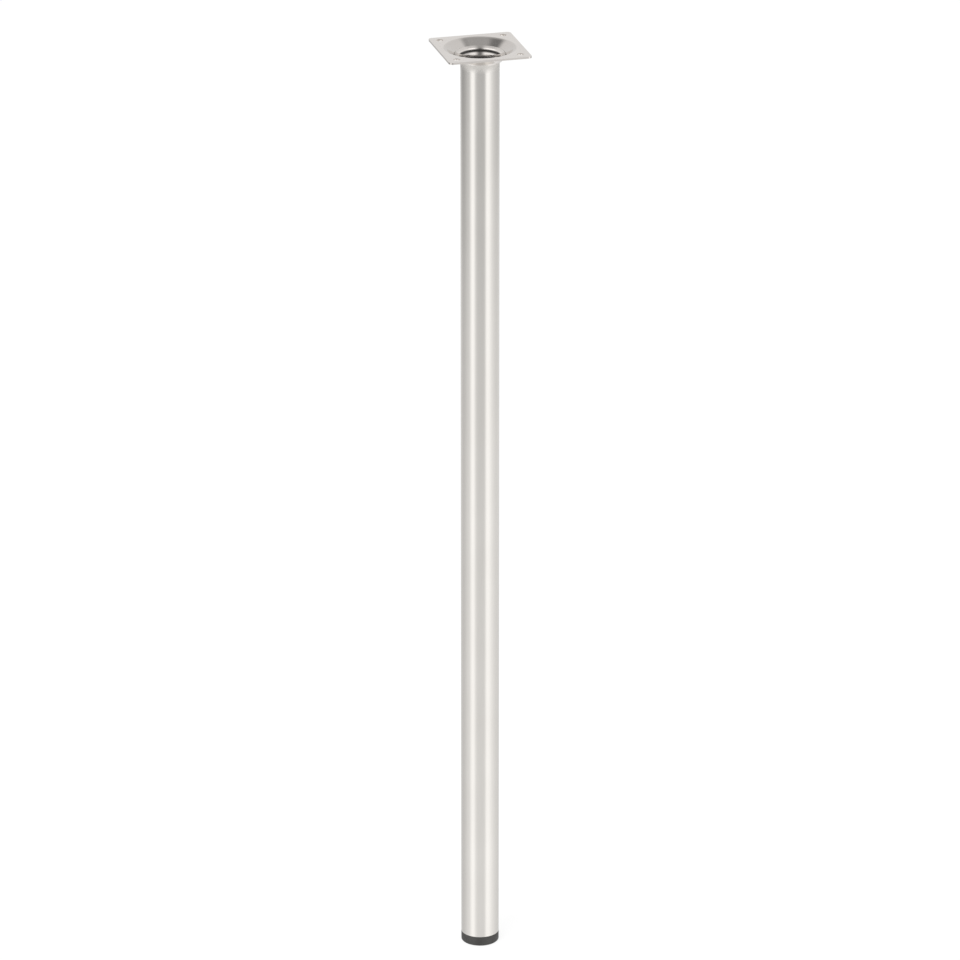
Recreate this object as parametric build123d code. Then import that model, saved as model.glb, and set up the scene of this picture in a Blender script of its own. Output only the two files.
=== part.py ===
# Round steel furniture leg with a pressed top plate and a moulded plastic foot.
# Millimetres, +Z up. The leg stands on its foot at Z = 0, centred on the Z axis.
import os
from math import cos, radians, sin

from build123d import *

os.makedirs("parts", exist_ok=True)

# Whole leg
leg_height = 750.0
tube_diameter = 30.0
tube_wall = 1.2

# Top plate, pressed from flat sheet
plate_width = 65.0
plate_thickness = 1.5
plate_corner_radius = 3.0
plate_edge_break = 0.4
screw_edge_distance = 7.5
screw_hole_diameter = 5.0

# Dish drawn down in the middle of the plate: rim bend, cone, throat bend up to the hole for the tube
dish_rim_bend = 6.0
dish_slope = 38.0
dish_cone = 8.1
throat_bend = 8.8
hole_slope = 58.0
hole_edge_break = 0.3

# Belled end of the tube: it lies on the throat bend, and its lip springs back a little from the cone
bell_slope = 41.0
bell_land = 2.2
bell_edge_break = 0.3
seat_clearance = 0.05

# Push-in foot: round head, hollow stem and gripping barbs
foot_head_height = 8.0
foot_edge_break = 1.2
foot_recess_diameter = 15.0
foot_recess_depth = 0.5
stem_length = 24.0
stem_wall = 2.0
barb_count = 2
barb_reach = 1.8
barb_height = 5.0
barb_first = 5.0
barb_pitch = 9.0
barb_clearance = 0.05

# Places worked out from the sizes above
tube_radius = tube_diameter / 2
bore_radius = tube_radius - tube_wall
slope = radians(dish_slope)
bell_bend = throat_bend + seat_clearance
cone_foot_radius = tube_radius + bell_bend - throat_bend * sin(slope)
dish_radius = cone_foot_radius + dish_cone * cos(slope) + dish_rim_bend * sin(slope)
rim_drop = dish_rim_bend * (1 - cos(slope))
cone_drop = dish_cone * sin(slope)
throat_drop = throat_bend * cos(slope)
bell_level = leg_height - rim_drop - cone_drop - throat_drop
screw_spacing = plate_width - 2 * screw_edge_distance
barb_radius = bore_radius - barb_clearance
stem_radius = bore_radius - barb_reach
stem_bore_radius = stem_radius - stem_wall


def turned(section):
    return revolve(section, Axis.Z)


# Mounting plate: the sheet bends down from the flat into the cone and ends at the hole for the tube
with BuildSketch(Plane.XZ) as dish_section:
    with BuildLine():
        rim = JernArc((dish_radius, leg_height), (-1, 0), dish_rim_bend, dish_slope)
        cone = Line(rim @ 1, rim @ 1 + (rim % 1) * dish_cone)
        JernArc(cone @ 1, cone % 1, throat_bend, hole_slope - dish_slope)
        offset(amount=plate_thickness, side=Side.LEFT)
    make_face()
    chamfer(dish_section.vertices().sort_by(Axis.Y)[:2], hole_edge_break)

sheet = extrude(RectangleRounded(plate_width, plate_width, plate_corner_radius), plate_thickness)
sheet_rims = sheet.edges().group_by(Axis.Z)
sheet = chamfer(sheet_rims[0] + sheet_rims[-1], plate_edge_break)
through_cut = 4 * plate_thickness
screw_hole = Cylinder(screw_hole_diameter / 2, through_cut)
sheet -= Cylinder(dish_radius, through_cut)
sheet -= GridLocations(screw_spacing, screw_spacing, 2, 2) * screw_hole
mounting_plate = Pos(0, 0, leg_height - plate_thickness) * sheet + turned(dish_section.sketch)
export_step(mounting_plate, "parts/mounting_plate.step")

# Leg tube: plain from the foot to the throat, then belled out over the cone
with BuildSketch(Plane.XZ) as tube_section:
    with BuildLine():
        side = Line((tube_radius, foot_head_height), (tube_radius, bell_level))
        bell = JernArc(side @ 1, side % 1, bell_bend, bell_slope - 90)
        Line(bell @ 1, bell @ 1 + (bell % 1) * bell_land)
        offset(amount=tube_wall, side=Side.LEFT)
    make_face()
    chamfer(tube_section.vertices().sort_by(Axis.Y)[-1], bell_edge_break)

leg_tube = turned(tube_section.sketch)
export_step(leg_tube, "parts/leg_tube.step")

# Foot plug: the head closes the tube's end and the barbs grip its bore
with BuildSketch(Plane.XZ) as head_section:
    with Locations((tube_radius / 2, foot_head_height / 2)):
        Rectangle(tube_radius, foot_head_height)
    chamfer(head_section.vertices().group_by(Axis.Y)[0].sort_by(Axis.X)[-1], foot_edge_break)
    with Locations((foot_recess_diameter / 4, foot_recess_depth / 2)):
        Rectangle(foot_recess_diameter / 2, foot_recess_depth, mode=Mode.SUBTRACT)

with BuildSketch(Plane.XZ) as stem_section:
    with Locations(((stem_bore_radius + stem_radius) / 2, foot_head_height + stem_length / 2)):
        Rectangle(stem_wall, stem_length)

with BuildSketch(Plane.XZ) as barb_sections:
    for number in range(barb_count):
        barb_level = foot_head_height + barb_first + number * barb_pitch
        with BuildLine():
            Polyline(
                (stem_bore_radius, barb_level),
                (barb_radius, barb_level),
                (stem_radius, barb_level + barb_height),
                (stem_bore_radius, barb_level + barb_height),
                close=True,
            )
        make_face()

foot_plug = turned(head_section.sketch) + turned(stem_section.sketch) + turned(barb_sections.sketch)
export_step(foot_plug, "parts/foot_plug.step")
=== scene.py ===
import bpy
import bmesh
from math import cos, pi, radians, sin
from mathutils import Matrix, Vector


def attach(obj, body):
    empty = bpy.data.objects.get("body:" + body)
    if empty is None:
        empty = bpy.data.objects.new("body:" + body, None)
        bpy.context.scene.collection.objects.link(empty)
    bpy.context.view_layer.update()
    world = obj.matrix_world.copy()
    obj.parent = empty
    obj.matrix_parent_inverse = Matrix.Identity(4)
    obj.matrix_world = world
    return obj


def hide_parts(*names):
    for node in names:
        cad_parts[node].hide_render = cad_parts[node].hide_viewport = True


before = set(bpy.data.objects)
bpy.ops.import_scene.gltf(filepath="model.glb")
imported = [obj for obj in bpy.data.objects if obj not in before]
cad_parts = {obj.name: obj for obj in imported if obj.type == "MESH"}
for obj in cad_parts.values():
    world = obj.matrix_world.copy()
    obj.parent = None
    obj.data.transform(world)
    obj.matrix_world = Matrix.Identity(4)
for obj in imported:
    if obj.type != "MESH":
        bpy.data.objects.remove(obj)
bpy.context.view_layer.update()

mm = 0.001
scene = bpy.context.scene

# sizes that the pieces share, in millimetres and degrees
leg = {"height": 750.0, "tubeRadius": 15.0, "tubeWall": 1.2, "footHead": 8.0}
dish = {"rimBend": 6.0, "slope": 38.0, "cone": 8.1, "throatBend": 8.8, "holeSlope": 58.0,
        "sheet": 1.5, "seatGap": 0.05}
meshing = {"turns": 192, "weld": 0.0001, "softenFrom": 60, "creaseFrom": 35}

boreRadius = leg["tubeRadius"] - leg["tubeWall"]
dishSin, dishCos = sin(radians(dish["slope"])), cos(radians(dish["slope"]))
throatRadius = leg["tubeRadius"] + dish["throatBend"] + dish["seatGap"]
dishRadius = throatRadius + (dish["rimBend"] - dish["throatBend"]) * dishSin + dish["cone"] * dishCos
dishDepth = dish["rimBend"] * (1 - dishCos) + dish["cone"] * dishSin + dish["throatBend"] * dishCos
bellLevel = leg["height"] - dishDepth


def startAt(bm, radius, level):
    return bm.verts.new((radius * mm, 0, level * mm))


def runBy(bm, vert, outwards, upwards):
    made = bmesh.ops.extrude_vert_indiv(bm, verts=[vert])["verts"][0]
    made.co += Vector((outwards, 0, upwards)) * mm
    return made


def runTo(bm, vert, radius, level):
    return runBy(bm, vert, radius - vert.co.x / mm, level - vert.co.z / mm)


def bendRound(bm, vert, radius, level, turn, steps):  # turn in degrees, seen from the front
    made = bmesh.ops.spin(bm, geom=[vert], cent=(radius * mm, 0, level * mm), axis=(0, -1, 0),
                          angle=radians(turn), steps=steps, use_duplicate=False)
    return [item for item in made["geom_last"] if isinstance(item, bmesh.types.BMVert)][0]


def turnSection(bm):  # the drawn section becomes a turned shape
    bmesh.ops.spin(bm, geom=bm.verts[:] + bm.edges[:], cent=(0, 0, 0), axis=(0, 0, 1),
                   angle=2 * pi, steps=meshing["turns"], use_merge=True, use_duplicate=False)
    bmesh.ops.remove_doubles(bm, verts=bm.verts, dist=meshing["weld"] * mm)


def giveWall(bm, wall):  # the wall grows down from a surface that looks up
    bmesh.ops.recalc_face_normals(bm, faces=bm.faces)
    largest = max(bm.faces, key=lambda face: face.calc_area())
    if largest.normal.z < 0:
        bmesh.ops.reverse_faces(bm, faces=bm.faces)
    bmesh.ops.solidify(bm, geom=bm.faces[:], thickness=wall * mm)
    bmesh.ops.recalc_face_normals(bm, faces=bm.faces)


def softenEdges(bm, width, segments):
    limit = radians(meshing["softenFrom"])
    sharp = [edge for edge in bm.edges if len(edge.link_faces) == 2 and edge.calc_face_angle() > limit]
    bmesh.ops.bevel(bm, geom=sharp, offset=width * mm, offset_type="OFFSET", affect="EDGES",
                    segments=segments, profile=0.5, material=-1, clamp_overlap=True)


def finishPiece(bm, name, materials):
    bmesh.ops.dissolve_degenerate(bm, dist=meshing["weld"] * mm, edges=bm.edges)
    mesh = bpy.data.meshes.new(name)
    bm.to_mesh(mesh)
    bm.free()
    for face in mesh.polygons:
        face.use_smooth = True
    mesh.set_sharp_from_angle(angle=radians(meshing["creaseFrom"]))
    for material in materials:
        mesh.materials.append(material)
    piece = bpy.data.objects.new(name, mesh)
    scene.collection.objects.link(piece)
    print("made", name, len(mesh.polygons), "faces")
    return piece


# Finishes: two close tones in slow clouds, and a fine grain in the roughness and the bump
grainDetail = {"Grain": 4, "Cloud": 2}


def addNode(nodes, kind, **settings):
    node = nodes.new(kind)
    for key, value in settings.items():
        setattr(node, key, value)
    return node


def newMaterial(name):
    material = bpy.data.materials.new(name)
    material.use_nodes = True
    nodes = material.node_tree.nodes
    return material, nodes, material.node_tree.links, nodes["Principled BSDF"]


def makeGrainGroup():  # streaks that run along the axis with the small stretch, and a slower cloud
    group = bpy.data.node_groups.new("finishGrain", "ShaderNodeTree")
    for name, kind in (("Position", "Vector"), ("Stretch", "Vector"),
                       ("Grain Scale", "Float"), ("Cloud Scale", "Float")):
        group.interface.new_socket(name, in_out="INPUT", socket_type="NodeSocket" + kind)
    for name in grainDetail:
        group.interface.new_socket(name, in_out="OUTPUT", socket_type="NodeSocketFloat")
    nodes, links = group.nodes, group.links
    given = nodes.new("NodeGroupInput")
    result = nodes.new("NodeGroupOutput")
    stretch = addNode(nodes, "ShaderNodeVectorMath", operation="MULTIPLY")
    links.new(given.outputs["Position"], stretch.inputs[0])
    links.new(given.outputs["Stretch"], stretch.inputs[1])
    for name, place in (("Grain", stretch.outputs[0]), ("Cloud", given.outputs["Position"])):
        noise = nodes.new("ShaderNodeTexNoise")
        noise.inputs["Detail"].default_value = grainDetail[name]
        links.new(place, noise.inputs["Vector"])
        links.new(given.outputs[name + " Scale"], noise.inputs["Scale"])
        links.new(noise.outputs["Fac"], result.inputs[name])
    return group


grainGroup = makeGrainGroup()


def spread(nodes, links, source, low, high, span=(0.3, 0.7)):  # the span becomes low to high
    ranged = nodes.new("ShaderNodeMapRange")
    ranged.inputs["From Min"].default_value = span[0]
    ranged.inputs["From Max"].default_value = span[1]
    ranged.inputs["To Min"].default_value = low
    ranged.inputs["To Max"].default_value = high
    links.new(source, ranged.inputs["Value"])
    return ranged.outputs["Result"]


def makeFinish(name, look):
    material, nodes, links, shader = newMaterial(name)
    position = nodes.new("ShaderNodeTexCoord").outputs["Object"]
    grain = addNode(nodes, "ShaderNodeGroup", node_tree=grainGroup)
    grain.inputs["Stretch"].default_value = look["stretch"]
    grain.inputs["Grain Scale"].default_value = look["grainScale"]
    grain.inputs["Cloud Scale"].default_value = look["cloudScale"]
    links.new(position, grain.inputs["Position"])

    tones = addNode(nodes, "ShaderNodeMix", data_type="RGBA")
    for socket, tone in zip("AB", look["tones"]):
        tones.inputs[socket].default_value = (*tone, 1)
    links.new(spread(nodes, links, grain.outputs["Cloud"], 0, 1), tones.inputs["Factor"])
    links.new(tones.outputs["Result"], shader.inputs["Base Color"])
    shader.inputs["Metallic"].default_value = look["metallic"]

    rough = spread(nodes, links, grain.outputs["Grain"], *look["rough"])
    if "endZone" in look:  # duller where the end was formed
        split = nodes.new("ShaderNodeSeparateXYZ")
        links.new(position, split.inputs[0])
        zone = [level * mm for level in look["endZone"]]
        dull = spread(nodes, links, split.outputs["Z"], 0, look["endRough"], zone)
        both = addNode(nodes, "ShaderNodeMath", operation="ADD")
        links.new(rough, both.inputs[0])
        links.new(dull, both.inputs[1])
        rough = both.outputs[0]
    links.new(rough, shader.inputs["Roughness"])

    bump = nodes.new("ShaderNodeBump")
    bump.inputs["Strength"].default_value = look["bump"]
    bump.inputs["Distance"].default_value = look["bumpDepth"] * mm
    links.new(grain.outputs["Grain"], bump.inputs["Height"])
    links.new(bump.outputs["Normal"], shader.inputs["Normal"])
    return material


tubeLook = {"tones": ((0.81, 0.785, 0.75), (0.78, 0.755, 0.72)), "metallic": 1.0, "rough": (0.15, 0.20),
            "stretch": (1, 1, 0.02), "grainScale": 2600, "cloudScale": 18, "bump": 0.05, "bumpDepth": 0.05,
            "endZone": (733.5, 738.0), "endRough": 0.40}
plateLook = {"tones": ((0.82, 0.78, 0.745), (0.79, 0.75, 0.715)), "metallic": 1.0, "rough": (0.09, 0.13),
             "stretch": (0.05, 1, 1), "grainScale": 2600, "cloudScale": 60, "bump": 0.02, "bumpDepth": 0.05}
bellLook = {**plateLook, "endZone": (bellLevel + 3.0, bellLevel + 1.8), "endRough": 0.30}
# raw bore: duller raw steel, with its tones set darker still as painted shade for the dim inside of the tube
rawBoreShadeLook = {"tones": ((0.42, 0.41, 0.40), (0.30, 0.29, 0.28)), "metallic": 1.0, "rough": (0.35, 0.5),
            "stretch": (1, 1, 0.05), "grainScale": 900, "cloudScale": 40, "bump": 0.1, "bumpDepth": 0.05}
footLook = {"tones": ((0.047, 0.045, 0.043), (0.062, 0.06, 0.057)), "metallic": 0.0, "rough": (0.42, 0.56),
            "stretch": (1, 1, 1), "grainScale": 2200, "cloudScale": 120, "bump": 0.25, "bumpDepth": 0.08}
tubeSteel = makeFinish("satinTube", tubeLook)
plateSteel = makeFinish("pressedSheet", plateLook)
bellSteel = makeFinish("formedBell", bellLook)
rawBoreShadeSteel = makeFinish("rawBorePaintedShade", rawBoreShadeLook)
footPlastic = makeFinish("mouldedFoot", footLook)
print("finishes are set")


# Mounting plate: flat sheet with four holes, and the dish turned in its middle
plate = {"width": 65.0, "corner": 3.0, "cornerSteps": 12, "holeEdge": 7.5, "holeRadius": 2.5, "holeSteps": 48,
         "rimSteps": 16, "throatSteps": 12, "join": 0.001, "edge": 0.35, "edgeSteps": 3}


def makePlate():
    bm = bmesh.new()
    top = Matrix.Translation((0, 0, leg["height"] * mm))
    half = plate["width"] / 2
    bmesh.ops.create_grid(bm, x_segments=1, y_segments=1, size=half * mm, matrix=top)
    bmesh.ops.bevel(bm, geom=bm.verts[:], offset=plate["corner"] * mm, offset_type="OFFSET",
                    affect="VERTICES", segments=plate["cornerSteps"], profile=0.5, material=-1)
    bmesh.ops.delete(bm, geom=bm.faces[:], context="FACES_ONLY")
    bmesh.ops.create_circle(bm, segments=meshing["turns"], radius=dishRadius * mm, matrix=top)
    place = half - plate["holeEdge"]
    for x, y in ((-place, -place), (place, -place), (place, place), (-place, place)):
        hole = top @ Matrix.Translation((x * mm, y * mm, 0))
        bmesh.ops.create_circle(bm, segments=plate["holeSteps"], radius=plate["holeRadius"] * mm, matrix=hole)
    bmesh.ops.triangle_fill(bm, use_beauty=True, use_dissolve=False, edges=bm.edges[:])

    section = bmesh.new()
    rimLevel = leg["height"] - dish["rimBend"]
    point = startAt(section, dishRadius, leg["height"])
    point = bendRound(section, point, dishRadius, rimLevel, dish["slope"], plate["rimSteps"])
    point = runBy(section, point, -dish["cone"] * dishCos, -dish["cone"] * dishSin)
    throatTurn = dish["holeSlope"] - dish["slope"]
    bendRound(section, point, throatRadius, bellLevel, throatTurn, plate["throatSteps"])
    turnSection(section)
    turned = bpy.data.meshes.new("dishSection")
    section.to_mesh(turned)
    section.free()
    bm.from_mesh(turned)
    bpy.data.meshes.remove(turned)

    bmesh.ops.remove_doubles(bm, verts=bm.verts, dist=plate["join"] * mm)
    giveWall(bm, dish["sheet"])
    softenEdges(bm, plate["edge"], plate["edgeSteps"])
    return finishPiece(bm, "mountingPlate", [plateSteel])


# Leg tube: one turned wall, belled out at its top end over the throat of the dish, and raw inside, where the
# darker bore tone is partly painted shade for the dim inside of the tube
tube = {"bellSlope": 41.0, "land": 2.2, "edge": 0.3, "bellSteps": 28, "shadedRawUpTo": 2.0}


def makeTube():
    bm = bmesh.new()
    radius, bottom, wall = leg["tubeRadius"], leg["footHead"], leg["tubeWall"]
    land, edge = tube["land"] - tube["edge"], tube["edge"]
    bellSin, bellCos = sin(radians(tube["bellSlope"])), cos(radians(tube["bellSlope"]))
    bellTurn = 90 - tube["bellSlope"]

    def runLip(vert, along, across):  # along the bell, and across the wall away from the bore
        return runBy(bm, vert, along * bellCos + across * bellSin, along * bellSin - across * bellCos)

    point = startAt(bm, boreRadius, bottom)
    point = runTo(bm, point, boreRadius, bellLevel)
    point = bendRound(bm, point, throatRadius, bellLevel, -bellTurn, tube["bellSteps"])
    point = runLip(point, land, 0)
    point = runLip(point, edge, edge)
    point = runLip(point, 0, wall - 2 * edge)
    point = runLip(point, -edge, edge)
    point = runLip(point, -land, 0)
    point = bendRound(bm, point, throatRadius, bellLevel, bellTurn, tube["bellSteps"])
    point = runTo(bm, point, radius, bottom)
    runTo(bm, point, boreRadius, bottom)
    turnSection(bm)
    bmesh.ops.recalc_face_normals(bm, faces=bm.faces)
    # inward faces below this level take the darkened bore finish, whose dark band inside the opening is
    # painted shade
    shadedRawLevel = (bellLevel + tube["shadedRawUpTo"]) * mm
    for face in bm.faces:
        middle = face.calc_center_median()
        if face.normal.x * middle.x + face.normal.y * middle.y < 0:
            face.material_index = 1 if middle.z < shadedRawLevel else 2
    return finishPiece(bm, "legTube", [tubeSteel, rawBoreShadeSteel, bellSteel])


# Foot plug: head with a recess and gate mark below, hollow stem with barbs above
foot = {"round": 1.2, "roundSteps": 8, "recessRadius": 7.5, "recessDepth": 0.5, "gateRadius": 1.5,
        "gateHeight": 0.3, "stemLength": 24.0, "stemWall": 2.0, "barbs": 2, "barbReach": 1.8,
        "barbHeight": 5.0, "barbFirst": 5.0, "barbPitch": 9.0, "barbGap": 0.05, "edge": 0.15, "edgeSteps": 2}


def makeFoot():
    bm = bmesh.new()
    head, radius = leg["footHead"], leg["tubeRadius"]
    stem = boreRadius - foot["barbReach"]
    gateLevel = foot["recessDepth"] - foot["gateHeight"]
    point = startAt(bm, 0, gateLevel)
    point = runTo(bm, point, foot["gateRadius"], gateLevel)
    point = runTo(bm, point, foot["gateRadius"], foot["recessDepth"])
    point = runTo(bm, point, foot["recessRadius"], foot["recessDepth"])
    point = runTo(bm, point, foot["recessRadius"], 0)
    point = runTo(bm, point, radius - foot["round"], 0)
    point = bendRound(bm, point, radius - foot["round"], foot["round"], 90, foot["roundSteps"])
    point = runTo(bm, point, radius, head)
    point = runTo(bm, point, stem, head)
    for number in range(foot["barbs"]):
        level = head + foot["barbFirst"] + number * foot["barbPitch"]
        point = runTo(bm, point, stem, level)
        point = runTo(bm, point, boreRadius - foot["barbGap"], level)
        point = runTo(bm, point, stem, level + foot["barbHeight"])
    stemTop = head + foot["stemLength"]
    point = runTo(bm, point, stem, stemTop)
    point = runTo(bm, point, stem - foot["stemWall"], stemTop)
    point = runTo(bm, point, stem - foot["stemWall"], head)
    runTo(bm, point, 0, head)
    turnSection(bm)
    bmesh.ops.recalc_face_normals(bm, faces=bm.faces)
    softenEdges(bm, foot["edge"], foot["edgeSteps"])
    return finishPiece(bm, "footPlug", [footPlastic])


for piece, node, slotName in ((makePlate(), "mounting_plate", "plate_steel"),
                              (makeTube(), "leg_tube", "tube_steel"),
                              (makeFoot(), "foot_plug", "foot_plastic")):
    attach(piece, "root")
    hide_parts(node)
    if node == "mounting_plate":
        piece.modifiers.new("flatFaces", "WEIGHTED_NORMAL").keep_sharp = True
print("pieces ride on the frame")


# Camera: a long lens, turned to the corner of the plate that the photo shows
view = {"azimuth": -15.1, "distance": 4.5, "height": 2.178, "pitch": 21.6, "focalPixels": 6197, "frame": 960,
        "sensor": 36, "reach": 100}


def makeCamera():
    data = bpy.data.cameras.new("viewCamera")
    data.sensor_width = view["sensor"]
    data.lens = view["focalPixels"] / view["frame"] * view["sensor"]
    data.clip_end = view["reach"]
    camera = bpy.data.objects.new("viewCamera", data)
    turn = radians(view["azimuth"])
    camera.location = (sin(turn) * view["distance"], -cos(turn) * view["distance"], view["height"])
    camera.rotation_euler = (radians(90 - view["pitch"]), 0, turn)
    scene.collection.objects.link(camera)
    scene.camera = camera


makeCamera()


# Floor: pale, with a glow for the camera that keeps it white
ground = {"size": 40.0, "tone": 0.9, "rough": 1.0, "glow": 1.06, "glowShare": 0.8}


def makeFloor():
    bm = bmesh.new()
    bmesh.ops.create_grid(bm, x_segments=1, y_segments=1, size=ground["size"] / 2)
    mesh = bpy.data.meshes.new("floor")
    bm.to_mesh(mesh)
    bm.free()
    material, nodes, links, shader = newMaterial("paleFloor")
    shader.inputs["Base Color"].default_value = (ground["tone"], ground["tone"], ground["tone"], 1)
    shader.inputs["Roughness"].default_value = ground["rough"]
    glow = nodes.new("ShaderNodeEmission")
    glow.inputs["Strength"].default_value = ground["glow"]
    mix = nodes.new("ShaderNodeMixShader")
    rays = nodes.new("ShaderNodeLightPath")
    share = addNode(nodes, "ShaderNodeMath", operation="MULTIPLY")
    share.inputs[1].default_value = ground["glowShare"]
    links.new(rays.outputs["Is Camera Ray"], share.inputs[0])
    links.new(share.outputs[0], mix.inputs["Fac"])
    links.new(shader.outputs[0], mix.inputs[1])
    links.new(glow.outputs[0], mix.inputs[2])
    links.new(mix.outputs[0], nodes["Material Output"].inputs["Surface"])
    mesh.materials.append(material)
    floor = bpy.data.objects.new("floor", mesh)
    scene.collection.objects.link(floor)
    floor.visible_glossy = False  # the metal mirrors the studio below the floor line instead


makeFloor()


# Studio: white for the camera, plain light for diffuse rays, soft boxes and grey flags for mirrored ones.
# A direction is named by the slope and side, in degrees, of a mirror that shows it from the front.
# Rings lie overhead: the slit in the middle, flags beside it, then ends and wings further aside.
# Bands stand upright lower down. Stops are (degrees, brightness).
studio = {
    "white": 1.0, "plainLight": 0.85, "lookDown": 17.6,
    "slitFade": (1, 18), "endsMiddle": 5.0, "endsFade": (16, 33), "wingsMiddle": -6.0, "wingsFade": (31, 46),
    "uprightFrom": (84, 87), "horizon": (-3, 3),
    "near": {"share": 0.55, "sideShare": 0.42, "level": 1.2, "slopes": (90.5, 92.4), "sides": (30, 60)},
    "under": {"contrast": 0.40, "level": 0.52, "slopes": (95, 103)},
    "bands": [(-90, 0.62), (-74, 0.52), (-62, 0.28), (-48, 0.38), (-40, 0.52), (-33, 0.58), (-25, 1.20),
              (-18, 1.20), (-13, 0.70), (-7, 0.48), (5, 0.45), (13, 0.47), (20, 1.20), (27, 1.18),
              (38, 0.80), (48, 0.63), (60, 0.54), (74, 0.54), (90, 0.62)],
    "slit": [(0, 0.82), (4, 0.82), (10, 0.56), (18, 0.44), (28, 0.38), (39, 0.38), (41, 0.42), (44, 0.22),
             (52, 0.03), (60, 0.03), (64, 0.18), (77, 0.20), (84, 0.60), (180, 0.60)],
    "flags": [(0, 0.82), (4, 0.82), (10, 0.56), (18, 0.44), (28, 0.37), (38, 0.38), (41, 0.48), (42, 0.95),
              (43, 1.25), (47, 1.25), (50, 0.12), (53, 0.03), (59, 0.03), (62, 0.50), (65, 1.08),
              (78, 1.05), (84, 0.60), (180, 0.60)],
    "ends": [(0, 0.82), (4, 0.82), (10, 0.54), (18, 0.38), (28, 0.24), (38, 0.17), (40, 0.30), (42, 0.85),
             (43, 1.25), (47, 1.25), (50, 0.12), (53, 0.03), (59, 0.03), (62, 0.50), (65, 1.05),
             (70, 1.00), (75, 0.78), (84, 0.60), (180, 0.60)],
    "wings": [(0, 0.82), (5, 0.78), (12, 0.71), (36, 0.69), (41, 0.72), (43, 0.88), (47, 0.88), (50, 0.14),
              (53, 0.05), (59, 0.05), (62, 0.46), (66, 0.76), (70, 0.70), (78, 0.66), (84, 0.60),
              (180, 0.60)],
}


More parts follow.
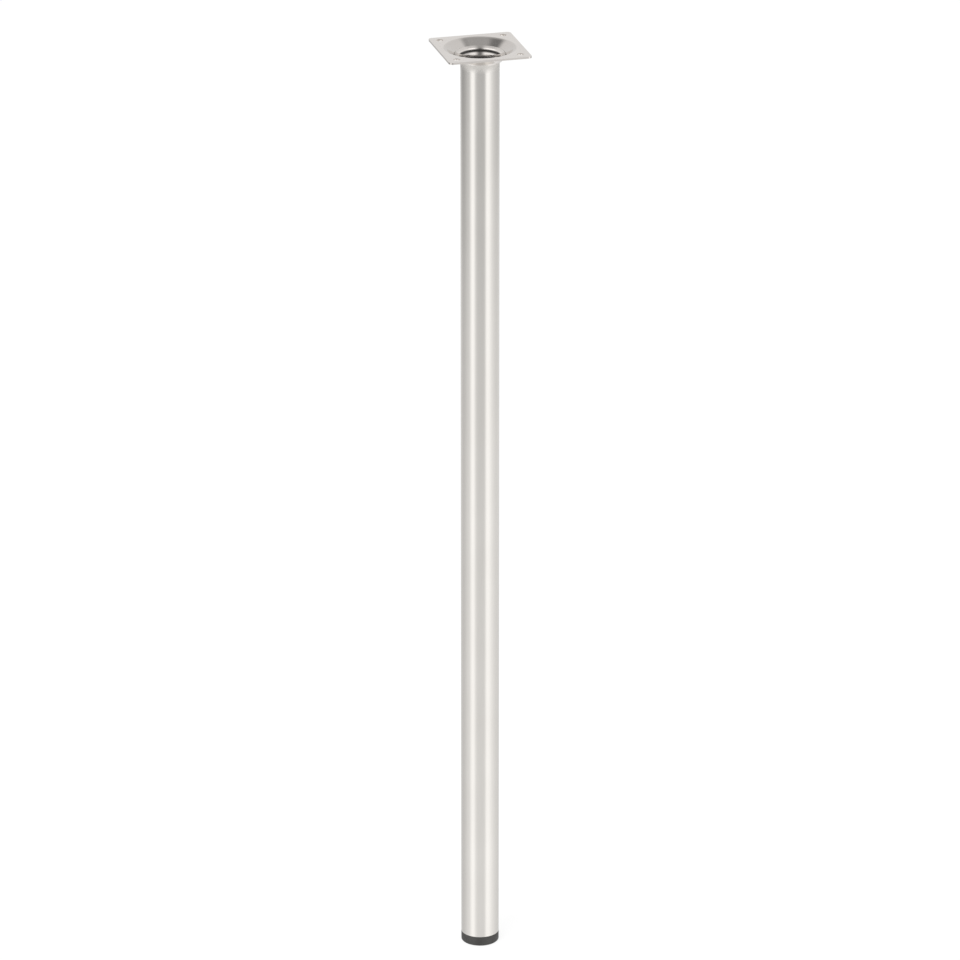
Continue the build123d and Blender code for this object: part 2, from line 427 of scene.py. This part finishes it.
def makeWorld():
    world = bpy.data.worlds.new("studio")
    scene.world = world
    world.use_nodes = True
    nodes, links = world.node_tree.nodes, world.node_tree.links

    def calc(operation, first, second=None, third=None):
        node = addNode(nodes, "ShaderNodeMath", operation=operation)
        for place, value in enumerate((first, second, third)):
            if isinstance(value, (int, float)):
                node.inputs[place].default_value = value
            elif value is not None:
                links.new(value, node.inputs[place])
        return node.outputs[0]

    def ease(value, low, high):  # 0 below low, 1 above high, both in degrees
        ranged = addNode(nodes, "ShaderNodeMapRange", interpolation_type="SMOOTHSTEP")
        ranged.inputs["From Min"].default_value = radians(low)
        ranged.inputs["From Max"].default_value = radians(high)
        links.new(value, ranged.inputs["Value"])
        return ranged.outputs["Result"]

    def blend(factor, first, second):
        mix = addNode(nodes, "ShaderNodeMix", data_type="RGBA")
        links.new(factor, mix.inputs["Factor"])
        for socket, value in (("A", first), ("B", second)):
            if isinstance(value, (int, float)):
                mix.inputs[socket].default_value = (value, value, value, 1)
            else:
                links.new(value, mix.inputs[socket])
        return mix.outputs["Result"]

    def ramp(stops, place):  # place runs from 0 at the first stop to 1 at the last
        made = nodes.new("ShaderNodeValToRGB")
        elements = made.color_ramp.elements
        low, high = stops[0][0], stops[-1][0]
        for number, (degrees, level) in enumerate(stops):
            spot = (degrees - low) / (high - low)
            stop = elements[number] if number < 2 else elements.new(spot)
            stop.position = spot
            stop.color = (level, level, level, 1)
        links.new(place, made.inputs["Fac"])
        return made.outputs["Color"]

    def asideFrom(middle):
        return calc("ABSOLUTE", calc("SUBTRACT", side, radians(middle)))

    # slope and side of the mirror that shows a direction from the front
    direction = nodes.new("ShaderNodeTexCoord").outputs["Generated"]
    turned = addNode(nodes, "ShaderNodeVectorRotate", rotation_type="Z_AXIS")
    turned.inputs["Angle"].default_value = -radians(view["azimuth"])
    links.new(direction, turned.inputs["Vector"])
    lookDown = radians(studio["lookDown"])
    half = addNode(nodes, "ShaderNodeVectorMath", operation="SUBTRACT")
    half.inputs[1].default_value = (0, cos(lookDown), -sin(lookDown))
    links.new(turned.outputs["Vector"], half.inputs[0])
    mirror = addNode(nodes, "ShaderNodeVectorMath", operation="NORMALIZE")
    links.new(half.outputs[0], mirror.inputs[0])
    split = nodes.new("ShaderNodeSeparateXYZ")
    links.new(mirror.outputs[0], split.inputs[0])
    slope = calc("ARCCOSINE", split.outputs["Z"])
    side = calc("ARCTAN2", split.outputs["X"], calc("MULTIPLY", split.outputs["Y"], -1))
    aside = calc("ABSOLUTE", side)

    slopeShare = calc("MULTIPLY", slope, 1 / pi)
    slit, flags, ends, wings = [ramp(studio[ring], slopeShare) for ring in ("slit", "flags", "ends", "wings")]
    overhead = blend(ease(aside, *studio["slitFade"]), slit, flags)
    overhead = blend(ease(asideFrom(studio["endsMiddle"]), *studio["endsFade"]), overhead, ends)
    overhead = blend(ease(asideFrom(studio["wingsMiddle"]), *studio["wingsFade"]), overhead, wings)

    bands = ramp(studio["bands"], calc("MULTIPLY_ADD", side, 1 / pi, 0.5))
    near = studio["near"]  # the paler studio low down, which the lower end of the tube mirrors
    share = calc("MULTIPLY_ADD", ease(aside, *near["sides"]), near["sideShare"] - near["share"], near["share"])
    upright = blend(calc("MULTIPLY", ease(slope, *near["slopes"]), share), bands, near["level"])
    under = studio["under"]  # weaker bands well below
    weaker = calc("MULTIPLY_ADD", bands, under["contrast"], under["level"])
    upright = blend(ease(slope, *under["slopes"]), upright, weaker)

    height = nodes.new("ShaderNodeSeparateXYZ")
    links.new(direction, height.inputs[0])
    below = calc("SUBTRACT", 1, ease(height.outputs["Z"], *studio["horizon"]))  # no rings below the horizon
    lower = calc("MAXIMUM", ease(slope, *studio["uprightFrom"]), below)
    mirrored = blend(lower, overhead, upright)

    rays = nodes.new("ShaderNodeLightPath")
    light = blend(rays.outputs["Is Glossy Ray"], studio["plainLight"], mirrored)
    direct = calc("MAXIMUM", rays.outputs["Is Camera Ray"], rays.outputs["Is Transmission Ray"])
    links.new(blend(direct, light, studio["white"]), nodes["Background"].inputs["Color"])


makeWorld()


# Key lamp: a soft box high at the front left, aimed at half the leg's height
lamp = {"place": (-1.6, -1.4, 2.6), "size": 1.6, "power": 40.0}


def makeLamp():
    data = bpy.data.lights.new("keyLamp", "AREA")
    data.size = lamp["size"]
    data.energy = lamp["power"]
    light = bpy.data.objects.new("keyLamp", data)
    light.location = lamp["place"]
    aim = Vector((0, 0, leg["height"] * mm / 2)) - light.location
    light.rotation_euler = aim.to_track_quat("-Z", "Y").to_euler()
    light.visible_camera = False
    light.visible_glossy = False
    scene.collection.objects.link(light)


makeLamp()
scene.view_settings.view_transform = "Standard"
print("camera, floor and light are set")
